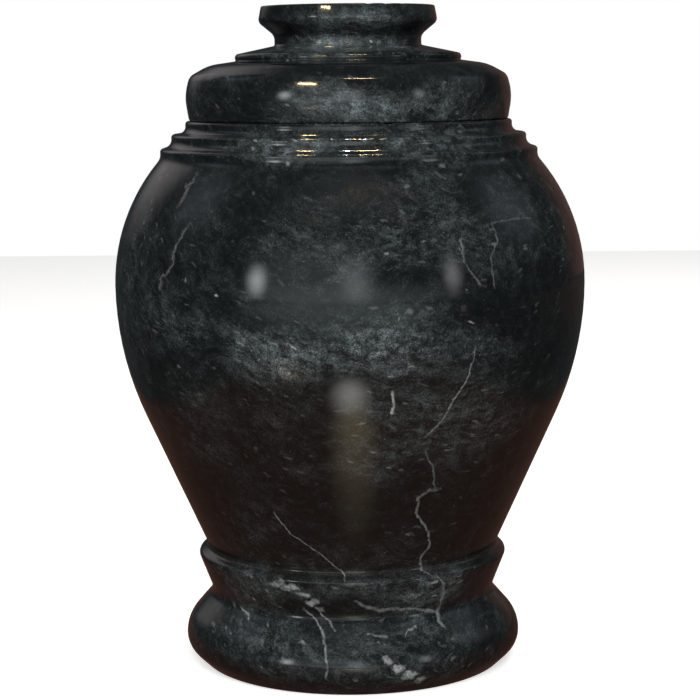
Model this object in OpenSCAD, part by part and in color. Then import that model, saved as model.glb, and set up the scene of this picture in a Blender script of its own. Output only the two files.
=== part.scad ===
// Turned stone cremation urn with a lift-off lid.
// Both pieces are solids of revolution about the Z axis, and the urn stands on z = 0.
// An outline is a short list of corners [radius, height, rounding], joined by straight sides.

/* [Foot] */
// Radius of the foot at its widest
foot_r = 72.2; // [69:0.1:90]
// Radius of the flat ring that the urn stands on
base_r = 64; // [54:0.1:66]
// Rounding at the edge of the underside
base_round = 3; // [0.5:0.1:6]
// Height at which the foot's lower bevel ends
toe_h = 7.8; // [6:0.1:9]
// Rounding where the lower bevel turns upright
toe_round = 9.3; // [4:0.1:14]
// Height at which the foot starts to draw in
heel_h = 17.6; // [16:0.1:20]
// Rounding where the foot draws in
heel_round = 15.4; // [5:0.1:25]
// Height from the underside to the groove
foot_h = 31.2; // [29:0.1:50]

/* [Collar] */
// Radius of the collar at its upper edge
collar_r = 66.9; // [62:0.1:74]
// Height of the collar above the groove
collar_h = 17; // [13:0.1:40]
// Rounding of the collar's upper edge
collar_round = 2.2; // [0.5:0.1:4]
// Depth of the groove below the collar's edge
groove_in = 6.6; // [3:0.1:8]
// Rounding at the bottom of the groove
groove_round = 5; // [2:0.1:8]
// Distance that the belly springs from inside the collar's edge
spring_in = 5; // [3.5:0.1:8]
// Rise from the collar's edge to the crease under the belly
spring_h = 2.1; // [0.5:0.1:5]
// Rounding of the crease under the belly
spring_round = 1.8; // [0.5:0.1:4]

/* [Belly] */
// Radius of the belly at its widest
belly_r = 100; // [84:0.1:122]
// Height of the widest point above the crease
belly_h = 113.4; // [90:0.1:150]
// Length of the straight taper above the crease
taper_run = 64; // [10:0.1:78]
// Height of the shoulder above the widest point
shoulder_h = 53.3; // [42:0.1:75]
// Length of the straight run between the shoulder's curve and the rings
shoulder_run = 3; // [2.5:0.1:8]

/* [Shoulder rings] */
// Radius of each ring, lowest first
ring_r = [80, 75.2, 69.2]; // [62:0.1:83]
// Height of each ring, lowest first
ring_h = [3.7, 6.2, 5.7]; // [3.4:0.1:12]
// Rounding of the cove at the foot of each ring, lowest first
ring_cove = [5, 3.5, 3]; // [0.5:0.1:5]
// Height that the top of the ring below falls from each ring's cove to its edge
ring_fall = [0, 1.8, 0.9]; // [0:0.1:2]
// Rounding of each ring's upper edge
ring_edge = 1.4; // [0.3:0.1:1.6]
// Distance that each ring's wall leans in towards its foot
ring_tuck = 0.2; // [0:0.05:0.6]

/* [Inside] */
// Thickness of the wall
wall = 12; // [8:0.1:15]
// Thickness of the floor
floor_h = 22; // [12:0.1:28]
// Rounding between the floor and the wall
floor_round = 12; // [2:0.1:16]
// Rounding where the upright lower wall turns into the taper
well_round = 30; // [5:1:60]
// Radius of the mouth
mouth_r = 50; // [40:0.1:60]
// Depth of the mouth's straight bore
mouth_h = 16; // [12:0.1:20]
// Rounding of the mouth's upper edge
mouth_edge = 0.8; // [0.2:0.1:2]
// Rounding where the inner shoulder turns towards the mouth
vault_round = 12; // [5:1:40]
// Rounding where the inside turns up into the mouth
throat_round = 3; // [0.5:0.1:8]

/* [Lid] */
// Distance that the lid's side, before its rounding, stands out past the top ring
lid_out = 0; // [-3:0.1:2]
// Distance that the lid's lower edge is tucked in
lid_tuck = 1.7; // [0:0.1:3]
// Rounding of the lid's lower edge
lid_edge = 1.2; // [0.3:0.1:2]
// Height of the lid's fullest point above the seam
lid_side_h = 10.4; // [9:0.1:14]
// Rounding of the lid's side
lid_side_round = 22; // [8:0.1:26]
// Distance and height at which the side turns over into the dome
lid_turn = [2.1, 18.6]; // [2:0.1:21]
// Rounding of that turn
lid_turn_round = 5; // [1:0.1:7]
// Distance and height at which the dome starts to flatten
lid_flat = [10.4, 23.2]; // [9:0.1:24]
// Rounding where the dome flattens
lid_flat_round = 20; // [2:0.1:24]

/* [Step and knob] */
// Radius of the step on the dome
step_r = 48.6; // [42:0.1:52]
// Height of the step's foot above the seam
step_foot_h = 24.8; // [24:0.1:30]
// Height of the step's edge above its foot
step_h = 2.6; // [2.4:0.1:8]
// Distance that the step's foot is tucked in
step_tuck = 1.2; // [0:0.1:2]
// Rounding of the step's edge
step_round = 1.8; // [0.5:0.1:2.5]
// Radius of the neck under the knob
neck_r = 31; // [18:0.1:34]
// Rise of the step's top from its edge to the neck
neck_foot_h = 3.7; // [1:0.1:6]
// Height of the neck
neck_h = 4.2; // [3:0.1:15]
// Rounding where the neck turns out into the knob
neck_round = 4; // [1:0.1:5]
// Radius of the knob
knob_r = 37.9; // [36:0.1:46]
// Height of the flare under the knob
flare_h = 5.7; // [4:0.1:10]
// Rounding of the knob's lower edge
knob_round = 3; // [0.5:0.1:5]
// Height of the knob's band
knob_h = 6.6; // [4.6:0.1:14]
// Distance that the knob's band leans in towards its top
knob_tuck = 1.3; // [0:0.1:3]
// Rise of the knob's top from its edge to its centre
knob_crown = 0.2; // [0:0.1:3]
// Rounding of the lid's smaller edges
fine_round = 0.8; // [0.2:0.1:1]

/* [Register] */
// Depth of the register that drops into the mouth
register_h = 7; // [4:0.1:11]
// Clearance between the register and the mouth all round
register_gap = 0.6; // [0.3:0.1:1.5]
// Chamfer of the register's lower edge
register_chamfer = 1; // [0:0.1:3]

/* [Hidden] */
$fn = 128;

// Largest turn in degrees between two points of a rounding
arc_step = 3;

// Radius of a corner that lies on the turning axis
axis = 0;

groove_z = foot_h;
collar_z = groove_z + collar_h;
spring_z = collar_z + spring_h;
belly_z = spring_z + belly_h;
shoulder_z = belly_z + shoulder_h;

// Height of the first few rings together
function stack(count) = count == 0 ? 0 : ring_h[count - 1] + stack(count - 1);

ring_z = [for (i = [0:len(ring_h)]) shoulder_z + stack(i)];
seam_z = ring_z[len(ring_h)];

step_z = seam_z + step_foot_h;
neck_z = step_z + step_h + neck_foot_h;
knob_z = neck_z + neck_h + flare_h;

groove_r = collar_r - groove_in;
spring_r = collar_r - spring_in;
ring_foot_r = ring_r[0] - ring_tuck;
lid_r = ring_r[len(ring_r) - 1] + lid_out;
throat_z = seam_z - mouth_h;

// Lean and rounding of a curve that is upright at the belly's widest point and ends in a straight run
// to a corner. width and height are the corner's distances from the widest point.
function curve_lean(width, height, run) = 2 * atan2(width, height + run);
function curve_round(width, height, run) = (width ^ 2 + height ^ 2 - run ^ 2) / (2 * width);

low_lean = curve_lean(belly_r - spring_r, belly_h, taper_run);
low_round = curve_round(belly_r - spring_r, belly_h, taper_run);
top_lean = curve_lean(belly_r - ring_foot_r, shoulder_h, shoulder_run);
top_round = curve_round(belly_r - ring_foot_r, shoulder_h, shoulder_run);

// The belly's inside runs parallel to its outside, one wall in: up from the well in the foot,
// and on to one wall in from the foot of the lowest ring.
well_r = groove_r - wall;
well_z = belly_z - (low_round - wall) * tan(low_lean / 2) - (belly_r - wall - well_r) / tan(low_lean);
vault_r = ring_foot_r - wall * cos(top_lean);
vault_z = shoulder_z - wall * sin(top_lean);

// Corner of the belly's outline, or of one that runs inside it at a distance, below its widest point
function low_corner(inset) =
    [belly_r - inset, belly_z - (low_round - inset) * tan(low_lean / 2), low_round - inset];

// The same above its widest point
function top_corner(inset) =
    [belly_r - inset, belly_z + (top_round - inset) * tan(top_lean / 2), top_round - inset];

function unit(v) = v / norm(v);

// A turn in degrees, taken the short way round
function short_turn(t) = t > 180 ? t - 360 : t < -180 ? t + 360 : t;

function flat(corner) = [corner.x, corner.y];

// Length of the side of a path that starts at corner i
function side(path, i) = norm(flat(path[i + 1]) - flat(path[i]));

// Half the angle between the two sides that meet at corner i
function half_angle(path, i) =
    acos(unit(flat(path[i - 1] - path[i])) * unit(flat(path[i + 1] - path[i]))) / 2;

// Distance that the rounding of corner i takes up along each of its sides
function reach(path, i) =
    i == 0 || i == len(path) - 1 || path[i].z == 0 ? 0 : path[i].z / tan(half_angle(path, i));

// Share of a corner's rounding that its two sides have room for, beside the roundings next to it
function room(path, i) = min(
    1,
    side(path, i - 1) / (reach(path, i - 1) + reach(path, i)),
    side(path, i) / (reach(path, i) + reach(path, i + 1))
);

// Points of the arc that rounds corner i and touches both of its sides
function arc_points(path, i) =
    let (
        p = flat(path[i]),
        to_a = unit(flat(path[i - 1]) - p),
        to_b = unit(flat(path[i + 1]) - p),
        half = half_angle(path, i),
        radius = path[i].z * room(path, i),
        centre = p + unit(to_a + to_b) * radius / sin(half),
        start = p + to_a * radius / tan(half) - centre,
        end = p + to_b * radius / tan(half) - centre,
        from = atan2(start.y, start.x),
        turn = short_turn(atan2(end.y, end.x) - from),
        count = ceil(abs(turn) / arc_step)
    )
    [for (i = [0:count]) centre + radius * [cos(from + turn * i / count), sin(from + turn * i / count)]];

// The points of an outline, from its corners [radius, height, rounding]
function rounded(path) = [
    for (i = [0:len(path) - 1])
        each path[i].z == 0 ? [flat(path[i])] : arc_points(path, i)
];

function foot_path() = [
    [axis, 0, 0],
    [base_r, 0, base_round],
    [foot_r, toe_h, toe_round],
    [foot_r, heel_h, heel_round],
];

function collar_path() = [
    [groove_r, groove_z, groove_round],
    [collar_r, collar_z, collar_round],
    [spring_r, spring_z, spring_round],
];

function belly_path() = [low_corner(0), top_corner(0)];

function ring_path() = [
    for (i = [0:len(ring_r) - 1])
        each [
            [ring_r[i] - ring_tuck, ring_z[i] + ring_fall[i], ring_cove[i]],
            [ring_r[i], ring_z[i + 1], ring_edge],
        ]
];

function inside_path() = [
    [mouth_r, seam_z, mouth_edge],
    [mouth_r, throat_z, throat_round],
    [vault_r, vault_z, vault_round],
    top_corner(wall),
    low_corner(wall),
    [well_r, well_z, well_round],
    [well_r, floor_h, floor_round],
    [axis, floor_h, 0],
];

function register_path() = [
    [axis, seam_z - register_h, 0],
    [mouth_r - register_gap - register_chamfer, seam_z - register_h, 0],
    [mouth_r - register_gap, seam_z - register_h + register_chamfer, 0],
    [mouth_r - register_gap, seam_z, 0],
];

function dome_path() = [
    [lid_r - lid_tuck, seam_z, lid_edge],
    [lid_r, seam_z + lid_side_h, lid_side_round],
    [lid_r - lid_turn.x, seam_z + lid_turn.y, lid_turn_round],
    [lid_r - lid_flat.x, seam_z + lid_flat.y, lid_flat_round],
];

function knob_path() = [
    [step_r - step_tuck, step_z, fine_round / 2],
    [step_r, step_z + step_h, step_round],
    [neck_r, neck_z, fine_round],
    [neck_r, neck_z + neck_h, neck_round],
    [knob_r, knob_z, knob_round],
    [knob_r - knob_tuck, knob_z + knob_h, fine_round],
    [axis, knob_z + knob_h + knob_crown, 0],
];

// Foot, collar, belly and rings, turned from one block and hollowed from the mouth.
module urn_body() {
    color([0.13, 0.15, 0.16])
        rotate_extrude()
            polygon(rounded(concat(foot_path(), collar_path(), belly_path(), ring_path(), inside_path())));
}

// Dome, step and knob, turned from one block, with the register that keeps the lid in place.
module lid() {
    color([0.17, 0.19, 0.2])
        rotate_extrude()
            polygon(rounded(concat(register_path(), dome_path(), knob_path())));
}

urn_body();
lid();
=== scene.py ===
"""Cremation urn: turned, hollow vessel and lift-off lid of dark veined marble."""

import math

import bpy
import numpy as np
from mathutils import Matrix, Vector


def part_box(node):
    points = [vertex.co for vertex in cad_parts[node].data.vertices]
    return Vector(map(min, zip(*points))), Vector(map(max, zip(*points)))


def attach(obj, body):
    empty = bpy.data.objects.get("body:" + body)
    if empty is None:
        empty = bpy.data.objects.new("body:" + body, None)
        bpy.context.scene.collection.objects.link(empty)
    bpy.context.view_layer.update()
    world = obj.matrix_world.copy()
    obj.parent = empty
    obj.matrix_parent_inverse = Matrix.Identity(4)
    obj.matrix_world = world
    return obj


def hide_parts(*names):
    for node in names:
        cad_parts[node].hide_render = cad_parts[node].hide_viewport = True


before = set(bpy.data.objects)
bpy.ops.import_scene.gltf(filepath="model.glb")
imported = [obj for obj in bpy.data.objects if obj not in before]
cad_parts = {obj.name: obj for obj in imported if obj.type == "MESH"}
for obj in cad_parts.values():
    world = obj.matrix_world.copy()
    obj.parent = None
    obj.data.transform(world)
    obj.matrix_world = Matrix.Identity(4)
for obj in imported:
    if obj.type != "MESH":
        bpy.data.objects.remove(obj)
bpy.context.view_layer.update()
BODY_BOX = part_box("urn_body")
LID_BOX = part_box("lid")

bl_info = {
    "name": "Marble Urn",
    "version": (1, 0, 0),
    "blender": (4, 5, 0),
    "location": "View3D > Sidebar > Urn",
    "description": "Turned marble urn with a lift-off lid, and its studio",
    "category": "Add Mesh",
}

MM = 0.001


# ---------------------------------------------------------------- properties


class UrnShape(bpy.types.PropertyGroup):
    """Sizes of the turned shape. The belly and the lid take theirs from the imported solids."""

    belly_radius: bpy.props.FloatProperty(
        name="Belly radius",
        description="Radius at the widest point of the belly",
        default=round(BODY_BOX[1].x, 4),
        unit="LENGTH",
        subtype="DISTANCE",
    )
    belly_height: bpy.props.FloatProperty(
        name="Belly height",
        description="Height of the widest point above the ground",
        default=0.1637,
        unit="LENGTH",
        subtype="DISTANCE",
    )
    seam_height: bpy.props.FloatProperty(
        name="Seam height",
        description="Height of the joint between body and lid",
        default=round(BODY_BOX[1].z, 4),
        unit="LENGTH",
        subtype="DISTANCE",
    )
    top_height: bpy.props.FloatProperty(
        name="Top height",
        description="Height of the middle of the knob",
        default=round(LID_BOX[1].z, 4),
        unit="LENGTH",
        subtype="DISTANCE",
    )
    wall: bpy.props.FloatProperty(
        name="Wall",
        description="Thickness of the vessel's wall",
        default=0.012,
        unit="LENGTH",
        subtype="DISTANCE",
    )
    ripple: bpy.props.FloatProperty(
        name="Turning ripple",
        description="Depth of the faint waves that hand polishing leaves",
        default=0.00003,
        precision=6,
        unit="LENGTH",
        subtype="DISTANCE",
    )
    segments: bpy.props.IntProperty(
        name="Segments",
        description="Facets in one turn of the surface",
        default=360,
        min=48,
        max=512,
    )


class UrnMarble(bpy.types.PropertyGroup):
    """Colours of the stone, and the brown of the painted table reflection on the lower belly."""

    ground: bpy.props.FloatVectorProperty(
        name="Ground",
        description="The dark stone between the clouds",
        subtype="COLOR",
        size=3,
        default=(0.0045, 0.0058, 0.0062),
        min=0.0,
        max=1.0,
    )
    cloud: bpy.props.FloatVectorProperty(
        name="Cloud",
        description="The grey-green clouds",
        subtype="COLOR",
        size=3,
        default=(0.150, 0.182, 0.187),
        min=0.0,
        max=1.0,
    )
    # Painted reflection: this brown stands in for the brown table that the lower belly mirrors; it
    # is not the stone's own colour.
    painted_table_reflection: bpy.props.FloatVectorProperty(
        name="Painted table reflection",
        description="The brown cast of the lower belly",
        subtype="COLOR",
        size=3,
        default=(0.0120, 0.0085, 0.0070),
        min=0.0,
        max=1.0,
    )
    stain: bpy.props.FloatVectorProperty(
        name="Stain",
        description="The rusty stains in the clouds",
        subtype="COLOR",
        size=3,
        default=(0.170, 0.115, 0.070),
        min=0.0,
        max=1.0,
    )
    calcite: bpy.props.FloatVectorProperty(
        name="Calcite",
        description="Veins and flecks",
        subtype="COLOR",
        size=3,
        default=(0.42, 0.45, 0.45),
        min=0.0,
        max=1.0,
    )


class UrnStudio(bpy.types.PropertyGroup):
    """Floor, light and camera."""

    floor_colour: bpy.props.FloatVectorProperty(
        name="Floor",
        description="Colour of the plain floor",
        subtype="COLOR",
        size=3,
        default=(0.80, 0.79, 0.77),
        min=0.0,
        max=1.0,
    )
    camera_distance: bpy.props.FloatProperty(
        name="Camera distance",
        description="From the urn's axis to the lens",
        default=0.8959,
        unit="LENGTH",
        subtype="DISTANCE",
    )
    camera_height: bpy.props.FloatProperty(
        name="Camera height",
        description="Height of the lens above the ground",
        default=0.2542,
        unit="LENGTH",
        subtype="DISTANCE",
    )
    camera_pitch: bpy.props.FloatProperty(
        name="Camera pitch",
        description="How far the lens looks down",
        default=math.radians(7.65),
        unit="ROTATION",
        subtype="ANGLE",
    )
    camera_roll: bpy.props.FloatProperty(
        name="Camera roll",
        description="How far the camera is turned about its line of sight",
        default=math.radians(0.5),
        unit="ROTATION",
        subtype="ANGLE",
    )
    lens: bpy.props.FloatProperty(
        name="Lens",
        description="Focal length on a 36 mm sensor",
        default=108.0,
        subtype="DISTANCE_CAMERA",
    )


# ------------------------------------------------------------------ outlines

# Sizes that the outlines share, in metres. The belly springs from the waist and ends at the
# shoulder, and next to each it runs straight.
WAIST, WAIST_Z, LOW_RUN = 0.0619, 0.0503, 0.0640
SHOULDER, SHOULDER_Z, TOP_RUN = 0.0798, 0.2170, 0.0030
# The cavity's floor, and the mouth with the lid's register in it.
FLOOR_Z, FLOOR_RADIUS = 0.0220, 0.0483
MOUTH, REGISTER, REGISTER_DEPTH, REGISTER_BEVEL = 0.0500, 0.0494, 0.0070, 0.0010
# Radius in the seam where the outside of a piece meets its inside.
SEAM_MEET = 0.0600
# Arcs of more than this radius get facets of a smaller turn, in degrees.
WIDE_ARC, WIDE_FACET, TIGHT_FACET = 0.015, 3, 11


def rounded(corners):
    """Outline through corners (radius, height, rounding): each corner is cut off by the circle
    arc that touches both of its sides. The arc starts at rounding * tan(turn / 2) from it."""
    corners = np.array(corners, float)
    line = [corners[0, :2]]
    for before, corner, after in zip(corners[:-2], corners[1:-1], corners[2:]):
        point, rounding = corner[:2], corner[2]
        if rounding <= 0:
            line.append(point)
            continue
        back = (before[:2] - point) / np.linalg.norm(before[:2] - point)
        ahead = (after[:2] - point) / np.linalg.norm(after[:2] - point)
        turn = math.pi - math.acos(float(np.clip(back @ ahead, -1, 1)))
        middle = back + ahead
        centre = point + middle / np.linalg.norm(middle) * rounding / math.cos(turn / 2)
        start = point + back * rounding * math.tan(turn / 2) - centre
        side = math.copysign(1, ahead[0] * back[1] - ahead[1] * back[0])
        facet = WIDE_FACET if rounding > WIDE_ARC else TIGHT_FACET
        steps = max(2, math.ceil(math.degrees(turn) / facet))
        angle = np.linspace(0, turn * side, steps + 1)
        arc = np.stack(
            (
                start[0] * np.cos(angle) - start[1] * np.sin(angle),
                start[0] * np.sin(angle) + start[1] * np.cos(angle),
            ),
            1,
        )
        line.extend(centre + arc)
    line.append(corners[-1, :2])
    line = np.array(line)
    apart = np.hypot(*np.diff(line, axis=0).T) > 1e-6
    return line[np.concatenate(([True], apart))]


def filled(line, longest):
    """The same outline with points added along it, so that no step is longer than longest."""
    step = np.diff(line, axis=0)
    parts = np.maximum(1, np.ceil(np.hypot(*step.T) / longest)).astype(int)
    index = np.repeat(np.arange(len(parts)), parts)
    count = np.arange(parts.sum()) - np.repeat(np.cumsum(parts) - parts, parts)
    share = count / np.repeat(parts, parts)
    return np.vstack((line[index] + step[index] * share[:, None], line[-1]))


def belly_corner(shape, edge_radius, edge_height, run, inset=0.0):
    """Height and rounding of the control corner between the belly's widest point and an edge.
    The curve is an arc, upright at the widest point, that ends in a straight run to the edge:
    lean = 2 atan(width / (height + run)), rounding = (width^2 + height^2 - run^2) / (2 width)."""
    width = shape.belly_radius - edge_radius
    height = abs(edge_height - shape.belly_height)
    way = math.copysign(1, edge_height - shape.belly_height)
    lean = 2 * math.atan2(width, height + run)
    rounding = (width**2 + height**2 - run**2) / (2 * width) - inset
    return shape.belly_height + way * rounding * math.tan(lean / 2), rounding


def body_outlines(shape):
    """Outside and inside outline of the vessel, both from the bottom up."""
    widest, seam = shape.belly_radius, shape.seam_height
    low_z, low_round = belly_corner(shape, WAIST, WAIST_Z, LOW_RUN)
    top_z, top_round = belly_corner(shape, SHOULDER, SHOULDER_Z, TOP_RUN)
    outside = [
        (0, 0, 0),
        (0.0640, 0, 0.0030),
        (0.0722, 0.0078, 0.0093),
        (0.0722, 0.0176, 0.0154),
        (0.0603, 0.0312, 0.0050),
        (0.0669, 0.0482, 0.0022),
        (WAIST, WAIST_Z, 0.0018),
        (widest, low_z, low_round),
        (widest, top_z, top_round),
        (SHOULDER, SHOULDER_Z, 0.0050),
        (0.0800, 0.2207, 0.0014),
        (0.0750, 0.2225, 0.0035),
        (0.0752, 0.2269, 0.0014),
        (0.0690, 0.2278, 0.0030),
        (0.0692, seam, 0.0014),
        (SEAM_MEET, seam, 0),
    ]
    in_low_z, in_low_round = belly_corner(shape, WAIST, WAIST_Z, LOW_RUN, shape.wall)
    in_top_z, in_top_round = belly_corner(shape, SHOULDER, SHOULDER_Z, TOP_RUN, shape.wall)
    inner = widest - shape.wall
    inside = [
        (0, FLOOR_Z, 0),
        (FLOOR_RADIUS, FLOOR_Z, 0.0120),
        (FLOOR_RADIUS, 0.04932, 0.0300),
        (inner, in_low_z, in_low_round),
        (inner, in_top_z, in_top_round),
        (0.07054, 0.20937, 0.0120),
        (MOUTH, 0.2166, 0.0030),
        (MOUTH, seam, 0.0008),
        (SEAM_MEET, seam, 0),
    ]
    return rounded(outside), rounded(inside)


def lid_outlines(shape):
    """Top of the lid, with step and knob, and its underside with the register, both from the
    axis out."""
    seam, top = shape.seam_height, shape.top_height
    low = seam - REGISTER_DEPTH
    upper = [
        (0, top, 0),
        (0.0366, top - 0.0002, 0.0008),
        (0.0379, 0.2736, 0.0030),
        (0.0310, 0.2679, 0.0040),
        (0.0310, 0.2637, 0.0008),
        (0.0486, 0.2600, 0.0018),
        (0.0474, 0.2574, 0.0004),
        (0.0588, 0.2558, 0.0200),
        (0.0671, 0.2512, 0.0050),
        (0.0692, 0.2430, 0.0220),
        (0.0675, seam, 0.0012),
        (SEAM_MEET, seam, 0),
    ]
    under = [
        (0, low, 0),
        (REGISTER - REGISTER_BEVEL, low, 0),
        (REGISTER, low + REGISTER_BEVEL, 0),
        (REGISTER, seam, 0),
        (SEAM_MEET, seam, 0),
    ]
    return rounded(upper), rounded(under)


# ------------------------------------------------------------------ surfaces

# The turning ripple: waves round the axis, their twist in radians per metre of height and their
# pitch in metres, and the radius in metres within which they die away towards the axis.
RIPPLE_WAVES, RIPPLE_TWIST, RIPPLE_PITCH, RIPPLE_START = 3, 610, 0.017, 0.02
# Depth of a nick, in metres, that counts as a fully worn edge, and the most that one counts.
NICK_WORN, NICK_MOST = 0.15 * MM, 1.6
# Radius in metres of a convex edge that counts as sharp.
SHARP = 0.0015

# Nicks in the edges: angle from the front in degrees, then height, half length, half breadth
# and depth in mm.
BODY_NICKS = (
    (13.5, 232.3, 1.6, 0.9, 0.45),
    (-4.0, 226.6, 1.4, 0.6, 0.20),
    (3.5, 226.7, 2.2, 0.6, 0.22),
    (9.5, 226.6, 1.2, 0.6, 0.25),
    (37.0, 226.4, 1.8, 0.6, 0.25),
    (118.0, 220.4, 2.4, 0.8, 0.35),
    (-151.0, 232.2, 1.7, 0.8, 0.35),
    (74.0, 2.2, 3.0, 1.4, 0.50),
    (-96.0, 1.8, 2.4, 1.2, 0.45),
    (166.0, 2.0, 3.4, 1.3, 0.50),
)
LID_NICKS = (
    (14.0, 280.0, 1.4, 0.8, 0.28),
    (27.0, 279.9, 1.8, 0.8, 0.30),
    (39.0, 279.8, 1.2, 0.7, 0.25),
    (-132.0, 279.9, 1.6, 0.8, 0.28),
    (95.0, 233.2, 1.7, 0.9, 0.35),
)


def turned_surface(line, segments, nicks, ripple):
    """Points of the surface that the outline sweeps round the axis, for angle a and outline (r, z):
    (r sin a, -r cos a, z). Each nick presses the surface in along its normal by
    depth * exp(-(along / length)^4 - (across / breadth)^2), and the ripple by
    ripple * (1 + sin(waves a + twist z) sin(2 pi z / pitch)) / 2. Also gives the nicks' depth."""
    slope = np.gradient(line, axis=0)
    normal = np.stack((slope[:, 1], -slope[:, 0]), 1)
    normal /= np.linalg.norm(normal, axis=1)[:, None]
    turn = np.arange(segments) * (2 * math.pi / segments)
    radius, height = line[:, 0][:, None], line[:, 1][:, None]
    nicked = np.zeros((len(line), segments))
    for angle, level, length, breadth, depth in nicks:
        off = (turn[None] - math.radians(angle) + math.pi) % (2 * math.pi) - math.pi
        along = off * radius / (length * MM)
        across = (height - level * MM) / (breadth * MM)
        nicked += depth * MM * np.exp(-(along**4) - across**2)
    wave = np.sin(RIPPLE_WAVES * turn[None] + RIPPLE_TWIST * height)
    wave = wave * np.sin(2 * math.pi * height / RIPPLE_PITCH)
    sunk = nicked + ripple * (1 + wave) / 2 * np.clip(radius / RIPPLE_START, 0, 1)
    r = radius - sunk * normal[:, 0][:, None]
    z = height - sunk * normal[:, 1][:, None]
    points = np.stack((r * np.sin(turn), -r * np.cos(turn), np.broadcast_to(z, r.shape)), 2)
    return points, nicked


def turned_piece(name, line, shape, nicks, polish):
    """Closed mesh of an outline that starts and ends on the axis, with the stone on its left.
    Rings of four-sided faces join neighbouring outline points, and a fan of triangles closes
    each pole. Point attributes: wear, how sharp and exposed the edge is, and polish, 1 where
    the stone is polished."""
    segments = shape.segments
    points, nicked = turned_surface(line[1:-1], segments, nicks, shape.ripple)
    rings = len(points)
    poles = np.array([(0, 0, line[0, 1]), (0, 0, line[-1, 1])])
    vertices = np.vstack((points.reshape(-1, 3), poles))
    ring, side = np.meshgrid(np.arange(rings - 1), np.arange(segments), indexing="ij")
    here, ahead = ring * segments, (side + 1) % segments
    above = here + segments
    quads = np.stack((here + side, here + ahead, above + ahead, above + side), 2).reshape(-1, 4)
    around = np.arange(segments)
    beyond = (around + 1) % segments
    first = np.stack((beyond, around, np.full(segments, rings * segments)), 1)
    last = (rings - 1) * segments
    final = np.stack((last + around, last + beyond, np.full(segments, rings * segments + 1)), 1)
    loops = np.concatenate((quads.ravel(), first.ravel(), final.ravel()))
    sizes = np.concatenate((np.full(len(quads), 4), np.full(2 * segments, 3)))
    mesh = bpy.data.meshes.new(name)
    mesh.vertices.add(len(vertices))
    mesh.vertices.foreach_set("co", vertices.ravel())
    mesh.loops.add(len(loops))
    mesh.loops.foreach_set("vertex_index", loops)
    mesh.polygons.add(len(sizes))
    mesh.polygons.foreach_set("loop_start", np.concatenate(([0], np.cumsum(sizes)[:-1])))
    mesh.polygons.foreach_set("use_smooth", np.ones(len(sizes), bool))
    mesh.update(calc_edges=True)
    mesh.validate()
    worn = np.repeat(convex_edges(line)[1:-1], segments)
    worn = np.maximum(worn, np.clip(nicked / NICK_WORN, 0, NICK_MOST).ravel())
    for label, values in (("wear", worn), ("polish", np.repeat(polish[1:-1], segments))):
        layer = mesh.attributes.new(label, "FLOAT", "POINT")
        layer.data.foreach_set("value", np.concatenate((values, [0, 0])).astype(np.float32))
    piece = bpy.data.objects.new(name, mesh)
    bpy.context.scene.collection.objects.link(piece)
    return piece


def convex_edges(line):
    """The sharp radius divided by the outline's own radius of bend, at most 1, at each of its
    points. It is 0 where the outline is straight or hollow."""
    before = line[:1] - (line[1:2] - line[:1])
    after = line[-1:] + (line[-1:] - line[-2:-1])
    step = np.diff(line, axis=0, prepend=before, append=after)
    heading = np.unwrap(np.arctan2(step[:, 1], step[:, 0]))
    length = np.hypot(*step.T)
    bend = np.diff(heading) / np.maximum(0.5 * (length[1:] + length[:-1]), 1e-6)
    return np.clip(bend * SHARP, 0, 1)


# ----------------------------------------------------------------- materials


class Socket:
    """An output of a shader node. Arithmetic on it, also with a number first, adds Math nodes."""

    def __init__(self, tree, source):
        self.tree, self.source = tree, source

    def math(self, operation, *others):
        values = dict(enumerate((self, *others)))
        return self.tree.node("ShaderNodeMath", {"operation": operation}, values)

    def __add__(self, other):
        return self.math("ADD", other)

    __radd__ = __add__

    def __mul__(self, other):
        return self.math("MULTIPLY", other)

    __rmul__ = __mul__

    def __sub__(self, other):
        return self.math("SUBTRACT", other)

    def __rsub__(self, other):
        return self.tree.node("ShaderNodeMath", {"operation": "SUBTRACT"}, {0: other, 1: self})

    def __truediv__(self, other):
        return self.math("DIVIDE", other)

    def __abs__(self):
        return self.math("ABSOLUTE")

    def most(self, other):
        """The larger of the two values."""
        return self.math("MAXIMUM", other)

    def fade(self, start, end):
        """0 at start, 1 at end, with a smooth rise or fall between."""
        low, high, first, last = (start, end, 0.0, 1.0) if start < end else (end, start, 1.0, 0.0)
        settings = {"interpolation_type": "SMOOTHSTEP", "clamp": True}
        values = dict(enumerate((self, low, high, first, last)))
        return self.tree.node("ShaderNodeMapRange", settings, values)


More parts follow.
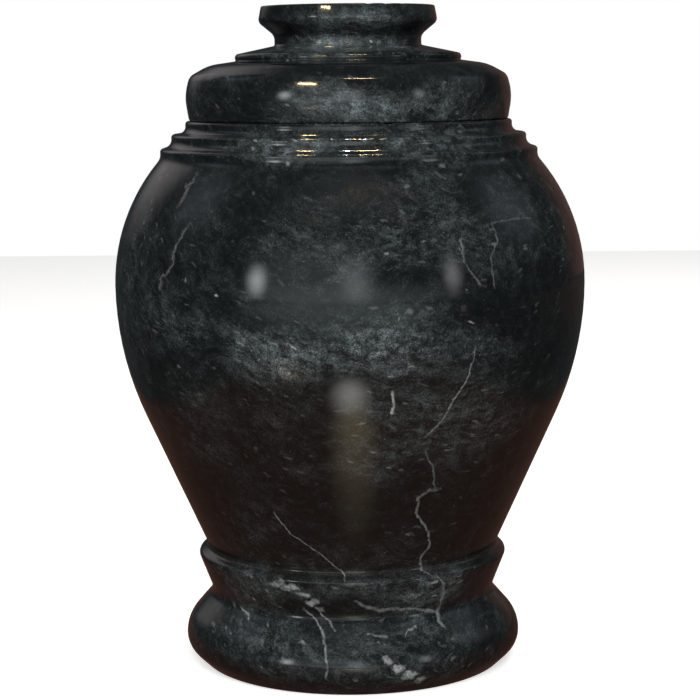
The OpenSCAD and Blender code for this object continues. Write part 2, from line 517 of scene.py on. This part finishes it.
class Tree:
    """The shader tree of a new material, or of a world."""

    def __init__(self, owner):
        self.owner = owner
        owner.use_nodes = True
        self.nodes, self.links = owner.node_tree.nodes, owner.node_tree.links
        self.nodes.clear()

    def node(self, kind, settings=None, values=None, output=0):
        """Adds a node, sets it up, sets or links its sockets, and returns one of its outputs."""
        made = self.nodes.new(kind)
        for label, value in (settings or {}).items():
            if label == "stops":
                self.set_stops(made.color_ramp, value)
            else:
                setattr(made, label, value)
        for label, value in (values or {}).items():
            if isinstance(value, Socket):
                self.links.new(value.source, made.inputs[label])
            else:
                made.inputs[label].default_value = value
        return Socket(self, made.outputs[output]) if made.outputs else None

    @staticmethod
    def set_stops(ramp, stops):
        """Gives a colour ramp its stops, as pairs of position and colour."""
        ramp.elements[0].position, ramp.elements[1].position = stops[0][0], stops[-1][0]
        for position, _ in stops[1:-1]:
            ramp.elements.new(position)
        for element, (_, colour) in zip(ramp.elements, stops):
            element.color = (*colour, 1.0)

    def vector(self, operation, *values, output=0):
        """A Vector Math node on points or directions. Output 1 is a number."""
        settings = {"operation": operation}
        return self.node("ShaderNodeVectorMath", settings, dict(enumerate(values)), output)

    def scaled(self, value, factor):
        """A vector times a number."""
        settings = {"operation": "SCALE"}
        return self.node("ShaderNodeVectorMath", settings, {0: value, "Scale": factor})

    def added(self, first, *others):
        """The sum of some vectors."""
        for other in others:
            first = self.vector("ADD", first, other)
        return first

    def axes(self, value):
        """The three coordinates of a vector, as numbers."""
        return (self.node("ShaderNodeSeparateXYZ", None, {0: value}, k) for k in range(3))

    def noise(self, place, scale, detail=2.0, roughness=0.5, output="Fac"):
        """Perlin noise about 0.5, with scale in cycles per metre."""
        values = {"Vector": place, "Scale": scale, "Detail": detail, "Roughness": roughness}
        return self.node("ShaderNodeTexNoise", {"noise_dimensions": "3D"}, values, output)

    def jitter(self, place, scale, detail, roughness):
        """A vector that wanders smoothly about nought, by up to about a quarter each way."""
        wander = self.noise(place, scale, detail, roughness, output="Color")
        return self.vector("SUBTRACT", wander, (0.5, 0.5, 0.5))

    def cells(self, place, scale, output="Distance"):
        """Voronoi cells, with scale in cells per metre."""
        values = {"Vector": place, "Scale": scale}
        return self.node("ShaderNodeTexVoronoi", {"feature": "F1"}, values, output)

    def blend(self, factor, first, second, mode="MIX"):
        """Two colours mixed by a factor, or the second added to the first by it."""
        settings = {"data_type": "RGBA", "blend_type": mode, "clamp_factor": mode == "MIX"}
        first = first if isinstance(first, Socket) else (*first, 1.0)
        second = second if isinstance(second, Socket) else (*second, 1.0)
        return self.node("ShaderNodeMix", settings, {0: factor, 6: first, 7: second}, 2)

    def patch(self, u, v, middle, half, core=0.0):
        """1 in the middle of an ellipse on the coordinates u and v, and 0 at its edge."""
        across, along = (u - middle[0]) / half[0], (v - middle[1]) / half[1]
        return (across * across + along * along).math("SQRT").fade(1.0, core)


# The bedding of the block: streaks and flecks lie in planes of this normal. Along them, the
# patterns are stretched by these shares of their scale, and the coarse flecks by less.
BEDDING = Vector((0.25, -0.65, 1.0)).normalized()
STRETCH, COARSE_STRETCH = (0.30, 0.40, 1.0), (0.55, 0.65, 1.0)
# Colours of bruised edges and of the unpolished inside, and the stone's gloss and pores in metres.
WORN_STONE, SAWN_STONE = (0.16, 0.17, 0.17), (0.07, 0.075, 0.075)
STONE_IOR, PORE_DEPTH = 1.52, 0.00003

# Placed veins on the front, as (angle from the front in degrees, height in mm), with their half
# width in mm and their strength. The last number is the lean of the vein's sheet as it goes back.
VEINS = (
    (
        ((29.6, 145.4), (28.1, 132.7), (25.2, 125.3), (23.3, 118.1), (19.0, 110.1), (14.0, 108.9)),
        0.30,
        0.45,
        0.30,
    ),
    (((19.6, 104.8), (22.9, 97.0), (25.0, 87.5)), 0.35, 0.26, 0.20),
    (
        (
            (25.0, 87.5),
            (20.3, 84.1),
            (20.3, 77.0),
            (26.0, 68.1),
            (28.1, 61.9),
            (25.5, 54.9),
            (26.8, 50.0),
            (29.6, 48.5),
        ),
        0.45,
        0.40,
        0.15,
    ),
    (
        (
            (31.0, 48.0),
            (34.6, 44.2),
            (35.9, 39.4),
            (36.1, 35.3),
            (34.6, 31.1),
            (34.1, 27.8),
            (35.3, 25.2),
        ),
        0.45,
        0.38,
        -0.20,
    ),
    (((-25.1, 77.0), (-20.7, 67.9), (-12.4, 60.3), (-7.1, 54.9), (-2.7, 48.7)), 0.38, 0.45, -0.35),
    (((-18.9, 35.0), (-15.1, 31.3), (-11.5, 27.6), (-10.1, 23.2), (-8.9, 9.6)), 0.38, 0.45, 0.25),
    (((-13.3, 35.4), (-9.2, 30.5), (-6.6, 27.0)), 0.38, 0.40, 0.25),
    (((9.5, 130.5), (9.9, 126.0), (10.0, 121.0)), 0.50, 0.80, 0.10),
    (((-47.1, 213.5), (-47.7, 208.1), (-47.6, 201.2)), 0.30, 0.16, 0.40),
    (
        ((-42.4, 193.1), (-45.2, 185.5), (-45.4, 177.3), (-49.0, 171.8), (-48.8, 167.5)),
        0.35,
        0.20,
        0.40,
    ),
    (((26.6, 189.1), (26.9, 179.2), (30.6, 170.0)), 0.30, 0.22, -0.30),
    (((36.3, 193.7), (36.8, 187.1), (34.2, 181.2), (34.4, 168.8)), 0.30, 0.20, -0.10),
    (((-49.3, 31.2), (-46.0, 29.5), (-43.2, 28.1)), 0.40, 0.50, 0.20),
)

# The same for veins that run sideways. Their sheets lie flat, and the lean is a rise to the back.
LEVEL_VEINS = (
    (
        ((34.6, 31.1), (23.7, 34.0), (17.4, 34.8), (10.4, 34.4), (5.3, 36.6), (1.2, 39.5)),
        0.50,
        0.35,
        0.10,
    ),
    (((36.3, 193.7), (42.9, 194.6), (50.6, 194.3)), 0.35, 0.12, 0.10),
    (((5.0, 26.0), (12.4, 24.6)), 0.40, 0.30, 0.05),
    (((18.6, 24.1), (20.4, 26.4), (24.2, 27.0)), 0.45, 0.40, 0.05),
    (((20.3, 84.1), (23.1, 86.4), (27.0, 87.2)), 0.60, 0.18, 0.10),
)

# Placed pale clouds on the front: angle and height of the middle, half sizes across, in depth and
# up in mm, and how much paler the stone is there.
CLOUDS = (
    (-38.0, 154.0, 30.0, 40.0, 9.0, 0.40),
    (-17.0, 144.0, 28.0, 30.0, 12.0, 1.50),
    (6.0, 149.0, 36.0, 30.0, 15.0, 1.30),
    (28.0, 146.0, 26.0, 30.0, 9.0, 0.50),
    (-24.0, 172.0, 30.0, 30.0, 16.0, 0.12),
    (-2.0, 188.0, 36.0, 30.0, 20.0, 0.42),
    (34.0, 180.0, 20.0, 30.0, 12.0, 0.15),
    (-30.0, 44.0, 26.0, 30.0, 7.0, 0.80),
    (4.0, 47.0, 24.0, 30.0, 4.0, 0.60),
    (30.0, 44.0, 26.0, 30.0, 7.0, 0.70),
    (-25.0, 20.0, 34.0, 40.0, 14.0, 0.45),
    (8.0, 16.0, 20.0, 30.0, 8.0, 0.25),
    (-8.0, 241.0, 18.0, 24.0, 10.0, 1.20),
    (8.0, 240.0, 22.0, 24.0, 9.0, 1.35),
    (34.0, 243.0, 20.0, 24.0, 9.0, 0.85),
    (56.0, 238.0, 20.0, 24.0, 9.0, 0.30),
    (0.0, 274.0, 40.0, 16.0, 8.0, 1.05),
    (0.0, 264.0, 40.0, 16.0, 7.0, 1.60),
    (-20.0, 225.0, 34.0, 30.0, 8.0, 0.95),
    (24.0, 225.0, 34.0, 30.0, 8.0, 0.85),
)

# White patches of calcite, placed in the same way.
PATCHES = (
    (-24.5, 48.0, 4.5, 9.0, 2.6, 0.80),
    (-20.5, 46.0, 4.8, 9.0, 2.6, 0.92),
    (-16.5, 43.6, 4.5, 9.0, 2.4, 0.85),
    (-13.0, 40.8, 3.8, 9.0, 2.4, 0.80),
    (-10.5, 38.2, 3.0, 9.0, 2.0, 0.72),
    (13.4, 17.0, 3.4, 9.0, 2.4, 0.75),
    (16.2, 14.4, 4.2, 9.0, 2.8, 0.90),
    (19.6, 11.2, 4.5, 9.0, 3.0, 1.00),
    (23.4, 8.2, 3.8, 9.0, 2.6, 0.90),
    (14.5, 233.9, 1.6, 4.0, 0.9, 1.00),
    (29.5, 48.0, 2.2, 4.0, 1.6, 0.80),
    (-42.0, 175.5, 1.0, 3.0, 2.2, 0.90),
    (-14.6, 137.0, 1.8, 4.0, 1.2, 0.90),
    (-16.6, 139.8, 1.5, 4.0, 0.8, 0.75),
    (28.0, 155.5, 3.2, 5.0, 0.9, 0.60),
    (-32.0, 169.0, 1.2, 4.0, 1.4, 0.80),
)

# Rusty stains on the front, placed in the same way.
STAINS = (
    (6.0, 207.0, 15.0, 12.0, 5.0, 0.80),
    (14.0, 198.0, 9.0, 12.0, 12.0, 0.70),
    (-6.0, 196.0, 8.0, 12.0, 9.0, 0.45),
    (-14.0, 136.0, 10.0, 12.0, 8.0, 0.60),
    (-10.0, 240.0, 7.0, 10.0, 7.0, 0.60),
    (-18.0, 20.0, 12.0, 12.0, 7.0, 0.35),
)


def outline_radius(height):
    """Outside radius of the body or the lid at a height in metres."""
    shape = bpy.context.scene.urn_shape
    line = body_outlines(shape)[0] if height < shape.seam_height else lid_outlines(shape)[0][::-1]
    return float(np.interp(height, line[:, 1], line[:, 0]))


def vein(tree, place, places, half_width, strength, lean, level=False):
    """A thin sheet of calcite through the block. Along the vein's run, a ramp holds how far aside
    the sheet lies: x + lean * y along the height, or z + lean * y along x for a level vein. The
    mask is strength near the sheet, 0 beyond its half width, and fades out at both ends."""
    run, aside = ((1, 0, 0), (0, lean, 1)) if level else ((0, 0, 1), (1, lean, 0))
    spots = []
    for angle, height in places:
        radius, turn = outline_radius(height * MM), math.radians(angle)
        point = Vector((radius * math.sin(turn), -radius * math.cos(turn), height * MM))
        spots.append((point.dot(run), point.dot(aside)))
    spots.sort()
    first, last = spots[0][0], spots[-1][0]
    sides = [side for _, side in spots]
    low, span = min(sides) - MM, max(sides) - min(sides) + 2 * MM
    stops = [((way - first) / (last - first), ((side - low) / span,) * 3) for way, side in spots]
    along = (tree.vector("DOT_PRODUCT", place, run, output=1) - first) / (last - first)
    ramp = tree.node("ShaderNodeValToRGB", {"stops": stops}, {"Fac": along})
    side = tree.vector("DOT_PRODUCT", place, aside, output=1)
    distance = abs(side - (ramp * span + low))
    mask = (distance / (half_width * MM)).fade(1.8, 0.3)
    ends = (abs(along - 0.5)).fade(0.56, 0.44)
    return mask * ends * strength


def placed(tree, place, spots, start, end):
    """The largest of some soft ellipsoids about points of the surface, each times its strength."""
    found = None
    for angle, level, across, depth, up, strength in spots:
        radius, turn = outline_radius(level * MM), math.radians(angle)
        middle = (radius * math.sin(turn), -radius * math.cos(turn), level * MM)
        away = tree.vector("SUBTRACT", place, middle)
        away = tree.vector("MULTIPLY", away, tuple(1 / (half * MM) for half in (across, depth, up)))
        soft = tree.vector("LENGTH", away, output=1).fade(start, end) * strength
        found = soft if found is None else found.most(soft)
    return found


def flecks(tree, place, scale, size, share):
    """Small flecks, one in a share of the cells, each with its own brightness."""
    colour = tree.cells(place, scale, output="Color")
    chance = tree.node("ShaderNodeSeparateColor", None, {0: colour})
    return tree.cells(place, scale).fade(size, size * 0.35) * chance.fade(1 - share, 1.0)


def paleness(tree, shifted, warped, bedded, region):
    """How pale the stone is: streaks and dashes along the bedding and an even mottle, mostly
    where a cloud is, with soft blotches, all broken up by crystal grain. Also gives the blotches
    and the streaks."""
    streaks = tree.noise(bedded, 170.0, 6.0, 0.74).fade(0.42, 0.74)
    dashes = tree.noise(bedded, 520.0, 3.0, 0.62).fade(0.48, 0.72)
    mottle = tree.noise(warped, 330.0, 5.0, 0.72).fade(0.40, 0.78)
    blotch = tree.noise(shifted, 130.0, 3.0, 0.62).fade(0.50, 0.72)
    grain = tree.noise(shifted, 1500.0, 2.0, 0.60).fade(0.34, 0.74)
    pale = streaks * 0.40 + dashes * 0.40 + mottle * 0.35
    pale = pale * (0.10 + region * 0.95) + region * 0.05
    pale = (pale + blotch * (0.04 + region * 0.40)) * (0.35 + grain * 1.10)
    return pale, blotch, streaks


def specks(tree, warped, bedded, flat, region, blotch):
    """Salt, fine flecks and a few coarse ones, most of them in the clouds."""
    turned = tree.vector("MULTIPLY", flat, COARSE_STRETCH)
    salt = flecks(tree, warped, 1150.0, 0.36, 0.30) * (0.04 + region * 0.30 + blotch * 0.12)
    fine = flecks(tree, bedded, 430.0, 0.30, 0.40) * (0.08 + region * 0.42)
    coarse = flecks(tree, turned, 190.0, 0.14, 0.09) * (0.25 + region * 0.4)
    return salt.most(fine).most(coarse)


def calcite_veins(tree, place, near, shifted, warped, bedded, front):
    """The placed patches and veins on the front, and the free veins of the sides and back. A free
    vein runs where a slow noise crosses its middle value, in only some parts of the block."""
    wander = tree.scaled(tree.jitter(place, 260.0, 4.0, 0.62), 0.003)
    wandering = tree.added(place, wander)
    ragged = tree.noise(place, 520.0, 3.0, 0.65).fade(0.34, 0.60)
    patches = placed(tree, near, PATCHES, 1.3, 0.2)
    veins = (patches + tree.noise(bedded, 300.0, 5.0, 0.75) * 1.4).fade(1.05, 1.65) * 0.85
    for table, level in ((VEINS, False), (LEVEL_VEINS, True)):
        for places, half_width, strength, lean in table:
            sheet = vein(tree, wandering, places, half_width, strength, lean, level)
            veins = veins.most(sheet)
    veins = veins * front * (0.30 + ragged * 0.70)

    slow = tree.noise(tree.added(warped, wander), 9.0, 1.0, 0.4)
    free = abs(slow - 0.5).fade(0.0060, 0.0012)
    shown = tree.noise(shifted, 20.0, 2.0, 0.5).fade(0.52, 0.66) * (1 - front)
    return veins.most(free * shown * (0.25 + ragged * 0.75) * 0.55)


def marble(name, colours, seed):
    """Dark marble: clouds and streaks along the bedding, grain, flecks, placed and free veins, and
    a painted reflection of the brown table on the lower belly.
    The seed is a vector that moves the block, so that two pieces don't show the same stone."""
    tree = Tree(bpy.data.materials.new(name))
    place = tree.node("ShaderNodeTexCoord", output="Object")
    _, y, z = tree.axes(place)
    front = y.fade(0.01, -0.02)

    turn = BEDDING.rotation_difference(Vector((0, 0, 1))).to_euler()
    shifted = tree.added(place, seed)
    drift = tree.jitter(shifted, 16.0, 3.0, 0.55)
    shiver = tree.jitter(shifted, 160.0, 3.0, 0.60)
    warped = tree.added(shifted, tree.scaled(drift, 0.030), tree.scaled(shiver, 0.004))
    near = tree.added(place, tree.added(tree.scaled(drift, 0.020), tree.scaled(shiver, 0.006)))
    flat = tree.node(
        "ShaderNodeVectorRotate",
        {"rotation_type": "EULER_XYZ"},
        {"Vector": warped, "Rotation": tuple(turn)},
    )
    bedded = tree.vector("MULTIPLY", flat, STRETCH)

    region = tree.noise(warped, 15.0, 3.0, 0.60).fade(0.42, 0.72) * (1 - front * 0.45)
    region = region + placed(tree, near, CLOUDS, 1.25, 0.1)
    pale, blotch, streaks = paleness(tree, shifted, warped, bedded, region)
    veins = calcite_veins(tree, place, near, shifted, warped, bedded, front)
    calcite = veins.most(specks(tree, warped, bedded, flat, region, blotch))

    # Painted reflection: a brown band on the lower belly, from about 44 to 150 mm high and full
    # from 52 to 110 mm, where the belly faces down to the table.
    painted_table_reflection = z.fade(0.150, 0.110) * z.fade(0.044, 0.052) * 0.55
    base = tree.blend(painted_table_reflection, colours.ground, colours.painted_table_reflection)
    stained = placed(tree, near, STAINS, 1.3, 0.0) * front * streaks
    base = tree.blend(pale, base, tree.blend(stained, colours.cloud, colours.stain))
    base = tree.blend(stained * 0.16, base, colours.stain)
    base = tree.blend(calcite, base, colours.calcite)

    wear = tree.node("ShaderNodeAttribute", {"attribute_name": "wear"}, output="Fac")
    polish = tree.node("ShaderNodeAttribute", {"attribute_name": "polish"}, output="Fac")
    worn = wear * tree.noise(place, 420.0, 4.0, 0.7).fade(0.58, 0.72)
    base = tree.blend(worn * 0.45, base, WORN_STONE)
    base = tree.blend((1 - polish) * 0.5, base, SAWN_STONE)

    smudge = tree.noise(place, 30.0, 4.0, 0.6)
    roughness = 0.06 + smudge * 0.07 + calcite * 0.06 + worn * 0.20 + (1 - polish) * 0.35
    pores = tree.noise(place, 1500.0, 2.0, 0.5)
    bump = tree.node(
        "ShaderNodeBump", None, {"Strength": 0.05, "Distance": PORE_DEPTH, "Height": pores}
    )
    shader = tree.node(
        "ShaderNodeBsdfPrincipled",
        None,
        {"Base Color": base, "Roughness": roughness, "IOR": STONE_IOR, "Normal": bump},
    )
    tree.node("ShaderNodeOutputMaterial", None, {"Surface": shader})
    return tree.owner


# ----------------------------------------------------------------- operators

# Where in the block each piece is cut from, and the height below which the body isn't polished.
BODY_SEED, LID_SEED = (3.1, 1.7, 0.4), (7.3, 0.2, 5.9)
UNDERSIDE = 0.5 * MM
# Longest step along an outline, in metres: outside and cavity of the body, top and bottom of the
# lid.
BODY_STEP, CAVITY_STEP, LID_STEP, UNDER_STEP = 0.0035, 0.0120, 0.0030, 0.0100


def place_piece(piece, material, node):
    """Finishes a piece: its stone, the solid that it stands for and the body that it rides on."""
    piece.data.materials.append(material)
    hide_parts(node)
    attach(piece, "root")


class URN_OT_body(bpy.types.Operator):
    """Build the hollow vessel, with foot, collar, belly and shoulder rings"""

    bl_idname = "urn.body"
    bl_label = "Urn Body"

    def execute(self, context):
        shape = context.scene.urn_shape
        outer, inner = body_outlines(shape)
        outer, inner = filled(outer, BODY_STEP), filled(inner, CAVITY_STEP)
        line = np.vstack((outer, inner[::-1][1:]))
        polish = (np.arange(len(line)) < len(outer)) & (line[:, 1] > UNDERSIDE)
        piece = turned_piece("marble_body", line, shape, BODY_NICKS, polish)
        stone = marble("Marble body", context.scene.urn_marble, BODY_SEED)
        place_piece(piece, stone, "urn_body")
        return {"FINISHED"}


class URN_OT_lid(bpy.types.Operator):
    """Build the lid, with dome, step, knob and the register that drops into the mouth"""

    bl_idname = "urn.lid"
    bl_label = "Urn Lid"

    def execute(self, context):
        shape = context.scene.urn_shape
        upper, under = lid_outlines(shape)
        upper, under = filled(upper, LID_STEP), filled(under, UNDER_STEP)
        line = np.vstack((under, upper[::-1][1:]))
        polish = np.arange(len(line)) >= len(under)
        piece = turned_piece("marble_lid", line, shape, LID_NICKS, polish)
        stone = marble("Marble lid", context.scene.urn_marble, LID_SEED)
        place_piece(piece, stone, "lid")
        return {"FINISHED"}


# The lamps' colours and the points that they are aimed at, in metres.
WHITE, COOL, WARM = (1, 0.98, 0.96), (0.93, 0.95, 1.0), (1, 0.72, 0.36)
MIDDLE, RINGS, DOME = (0, 0, 0.15), (0, 0, 0.22), (-0.010, -0.066, 0.248)
# Lamps: name, target, azimuth and elevation in degrees, distance and size in metres, power in
# watts, colour, whether it fills the matt stone or only mirrors in the gloss, and on which piece.
LAMPS = (
    ("key", MIDDLE, 4, 30, 1.5, (0.7, 0.7), 20, WHITE, "matt", None),
    ("fill", MIDDLE, -60, 50, 1.8, (1.2, 1.2), 9, WHITE, "matt", None),
    ("back", MIDDLE, 150, 50, 1.8, (1.2, 1.2), 14, WHITE, "matt", None),
    ("spark", RINGS, -90, 89.6, 0.6, (0.014, 0.014), 0.9, COOL, "gloss", "marble_body"),
    ("warm_left", RINGS, -93, 76, 0.6, (0.052, 0.010), 0.9, WARM, "gloss", "marble_body"),
    ("warm_right", RINGS, 90, 84, 0.6, (0.072, 0.010), 1.3, WARM, "gloss", "marble_body"),
    ("warm_low", DOME, -31, 28, 1.2, (0.25, 0.016), 2.6, WARM, "gloss", "marble_lid"),
    ("warm_high", DOME, 11, 53, 1.2, (0.36, 0.018), 4.0, WARM, "gloss", "marble_lid"),
)
# A lamp higher than this, in degrees, keeps its long side along x.
OVERHEAD = 70


def soft_light(name, target, azimuth, elevation, distance, size, power, colour, sees, only):
    """Area light at an azimuth and elevation from a target, aimed at it. Azimuth 0 is the front.
    sees is "matt" for light that only fills or "gloss" for a light that only mirrors, and only
    is the one piece that it lights, or None for all."""
    light = bpy.data.lights.new(name, "AREA")
    light.shape, light.size, light.size_y = "RECTANGLE", *size
    light.energy, light.color = power, colour
    lamp = bpy.data.objects.new(name, light)
    bpy.context.scene.collection.objects.link(lamp)
    a, e = math.radians(azimuth), math.radians(elevation)
    way = Vector((math.sin(a) * math.cos(e), -math.cos(a) * math.cos(e), math.sin(e)))
    lamp.location = Vector(target) + way * distance
    lamp.rotation_mode = "QUATERNION"
    side = Vector((-way.y, way.x, 0)) if elevation < OVERHEAD else Vector((1, 0, 0))
    side = (side - way * side.dot(way)).normalized()
    lamp.rotation_quaternion = Matrix((side, way.cross(side), way)).transposed().to_quaternion()
    lamp.visible_camera = False
    lamp.visible_glossy = sees != "matt"
    lamp.visible_diffuse = sees != "gloss"
    if only:
        lit = bpy.data.collections.new(f"{name}_lights")
        lit.objects.link(bpy.data.objects[only])
        lamp.light_linking.receiver_collection = lit


# The room's darkest places, all round, and the table as the polish mirrors them.
DIM, TABLE = (0.030, 0.034, 0.036), (0.085, 0.042, 0.032)
# Light that the polish mirrors from beyond the table and from the table's top: middle and half
# size in metres, the share of it that is even, strength and colour.
FAR_LIGHTS = (
    ((-0.2, -1.5), (1.5, 1.2), 0.3, 0.70, (0.85, 0.98, 1.0)),
    ((1.3, 1.0), (1.2, 1.3), 0.3, 0.04, (0.9, 0.35, 0.25)),
)
NEAR_LIGHTS = (
    ((-0.002, -0.262), (0.054, 0.070), 0.0, 3.2, (1.0, 1.0, 0.98)),
    ((0.004, -0.190), (0.046, 0.100), 0.0, 1.10, (1.0, 0.85, 0.52)),
)
# The floor: half its side in metres, points along a side, the shade that the matt stone gets its
# bounced light from, and the light added where it is seen directly.
FLOOR_HALF, FLOOR_POINTS = 2.0, 9
FLOOR_BOUNCE, FLOOR_LIFT = (0.16, 0.12, 0.10), (0.62, 0.62, 0.62)


def mirrored_floor(tree):
    """Colour of the floor as the polish mirrors it: a dim room, the table and their lights."""
    x, y, _ = tree.axes(tree.node("ShaderNodeTexCoord", output="Object"))
    table = abs(x).fade(0.30, 0.25) * y.fade(-0.50, -0.44)
    seen = DIM
    for middle, half, core, strength, colour in FAR_LIGHTS:
        seen = tree.blend(tree.patch(x, y, middle, half, core) * strength, seen, colour, "ADD")
    seen = tree.blend(table, seen, TABLE)
    for middle, half, core, strength, colour in NEAR_LIGHTS:
        seen = tree.blend(tree.patch(x, y, middle, half, core) * strength, seen, colour, "ADD")
    return seen


def studio_floor(colour):
    """A plain pale floor, a flat square grid. Its reflection in the polish is a dim table."""
    side = np.linspace(-FLOOR_HALF, FLOOR_HALF, FLOOR_POINTS)
    u, v = np.meshgrid(side, side, indexing="ij")
    points = np.stack((u, v, np.zeros_like(u)), 2).reshape(-1, 3)
    steps = np.arange(FLOOR_POINTS - 1)
    i, j = np.meshgrid(steps, steps, indexing="ij")
    corner = (i * FLOOR_POINTS + j).ravel()
    beyond = corner + FLOOR_POINTS
    faces = np.stack((corner, beyond, beyond + 1, corner + 1), 1)
    mesh = bpy.data.meshes.new("studio_floor")
    mesh.from_pydata(points, [], faces)
    floor = bpy.data.objects.new("studio_floor", mesh)
    bpy.context.scene.collection.objects.link(floor)
    tree = Tree(bpy.data.materials.new("Studio floor"))
    tree.owner.cycles.emission_sampling = "NONE"
    camera = tree.node("ShaderNodeLightPath", output="Is Camera Ray")
    mirrored = tree.node("ShaderNodeLightPath", output="Is Glossy Ray")
    shade = tree.blend(camera, FLOOR_BOUNCE, colour)
    pale = tree.node("ShaderNodeBsdfPrincipled", None, {"Base Color": shade, "Roughness": 0.9})
    lift = tree.blend(camera, (0.0, 0.0, 0.0), FLOOR_LIFT)
    lifted = tree.node("ShaderNodeEmission", None, {"Color": lift})
    pale = tree.node("ShaderNodeAddShader", None, {0: pale, 1: lifted})
    glow = tree.node("ShaderNodeEmission", None, {"Color": mirrored_floor(tree)})
    shader = tree.node("ShaderNodeMixShader", None, {0: mirrored, 1: pale, 2: glow})
    tree.node("ShaderNodeOutputMaterial", None, {"Surface": shader})
    mesh.materials.append(tree.owner)
    return floor


# Soft shapes of the room in the polish: azimuth and elevation of the middle in degrees, half width
# and half height, share of it that is even, and brightness of red, green and blue.
ROOM = (
    (-17, 6, 40, 34, 0.3, (0.42, 0.46, 0.47)),
    (0, -4, 70, 14, 0.3, (0.44, 0.48, 0.49)),
    (-45, 7, 7, 12, 0.0, (6.0, 6.3, 6.3)),
    (3, 8, 12, 20, 0.0, (1.3, 1.4, 1.45)),
    (50, 9, 7, 14, 0.0, (2.4, 2.5, 2.5)),
    (0, 62, 60, 26, 0.2, (0.22, 0.23, 0.24)),
    (-148, 28, 30, 28, 0.3, (0.42, 0.38, 0.39)),
    (155, 0, 30, 30, 0.3, (0.09, 0.035, 0.025)),
    (100, 30, 30, 24, 0.0, (0.3, 0.32, 0.35)),
    (-100, 35, 26, 22, 0.0, (0.3, 0.32, 0.35)),
)


def studio_world():
    """White behind the object, and in its polish a dim room with soft windows. A direction's
    azimuth is atan2(x, -y), 0 at the front, and its elevation is asin(z)."""
    world = bpy.data.worlds.new("Studio")
    bpy.context.scene.world = world
    tree = Tree(world)
    way = tree.vector("NORMALIZE", tree.node("ShaderNodeTexCoord", output="Generated"))
    x, y, z = tree.axes(way)
    azimuth = x.math("ARCTAN2", y * -1.0) * math.degrees(1)
    elevation = z.math("ARCSINE") * math.degrees(1)
    room = DIM
    for az, el, wide, tall, core, colour in ROOM:
        soft = tree.patch(azimuth, elevation, (az, el), (wide, tall), core)
        room = tree.blend(soft, room, colour, "ADD")
    camera = tree.node("ShaderNodeLightPath", output="Is Camera Ray")
    seen = tree.blend(camera, room, (1.0, 1.0, 1.0))
    shader = tree.node("ShaderNodeBackground", None, {"Color": seen})
    tree.node("ShaderNodeOutputWorld", None, {"Surface": shader})


# How far the lens stands to the side of the urn's axis, in metres.
LENS_ASIDE = -0.00024


class URN_OT_studio(bpy.types.Operator):
    """Set up the plain floor, the soft light and the camera"""

    bl_idname = "urn.studio"
    bl_label = "Studio"

    def execute(self, context):
        studio = context.scene.urn_studio
        studio_floor(studio.floor_colour)
        studio_world()
        for lamp in LAMPS:
            soft_light(*lamp)

        camera = bpy.data.cameras.new("camera")
        camera.sensor_width, camera.lens = 36.0, studio.lens
        eye = bpy.data.objects.new("camera", camera)
        context.scene.collection.objects.link(eye)
        pitch, roll = studio.camera_pitch, studio.camera_roll
        ahead = Vector((0, math.cos(pitch), -math.sin(pitch)))
        right = Vector((1, 0, 0))
        up = right.cross(ahead)
        across = right * math.cos(roll) - up * math.sin(roll)
        above = up * math.cos(roll) + right * math.sin(roll)
        turn = Matrix((across, above, -ahead)).transposed()
        lens_at = (LENS_ASIDE, -studio.camera_distance, studio.camera_height)
        eye.matrix_world = Matrix.Translation(lens_at) @ turn.to_4x4()
        context.scene.camera = eye
        context.scene.view_settings.view_transform = "Standard"
        return {"FINISHED"}


class URN_PT_panel(bpy.types.Panel):
    """Sizes, colours and the steps that build the urn"""

    bl_label = "Marble Urn"
    bl_idname = "URN_PT_panel"
    bl_space_type = "VIEW_3D"
    bl_region_type = "UI"
    bl_category = "Urn"

    def draw(self, context):
        layout = self.layout
        for group in (context.scene.urn_shape, context.scene.urn_marble, context.scene.urn_studio):
            for label in group.__annotations__:
                layout.prop(group, label)
        for step in STEPS:
            layout.operator(step.bl_idname)


GROUPS = {"urn_shape": UrnShape, "urn_marble": UrnMarble, "urn_studio": UrnStudio}
STEPS = (URN_OT_body, URN_OT_lid, URN_OT_studio)
CLASSES = (*GROUPS.values(), *STEPS, URN_PT_panel)


def register():
    """Registers the classes and gives the scene its groups of settings."""
    for made in CLASSES:
        bpy.utils.register_class(made)
    for label, group in GROUPS.items():
        setattr(bpy.types.Scene, label, bpy.props.PointerProperty(type=group))


def unregister():
    """Takes the settings and the classes away again."""
    for label in GROUPS:
        delattr(bpy.types.Scene, label)
    for made in reversed(CLASSES):
        bpy.utils.unregister_class(made)


def main():
    """Builds the body, the lid and the studio."""
    register()
    bpy.ops.urn.body()
    bpy.ops.urn.lid()
    bpy.ops.urn.studio()


if __name__ == "__main__":
    main()
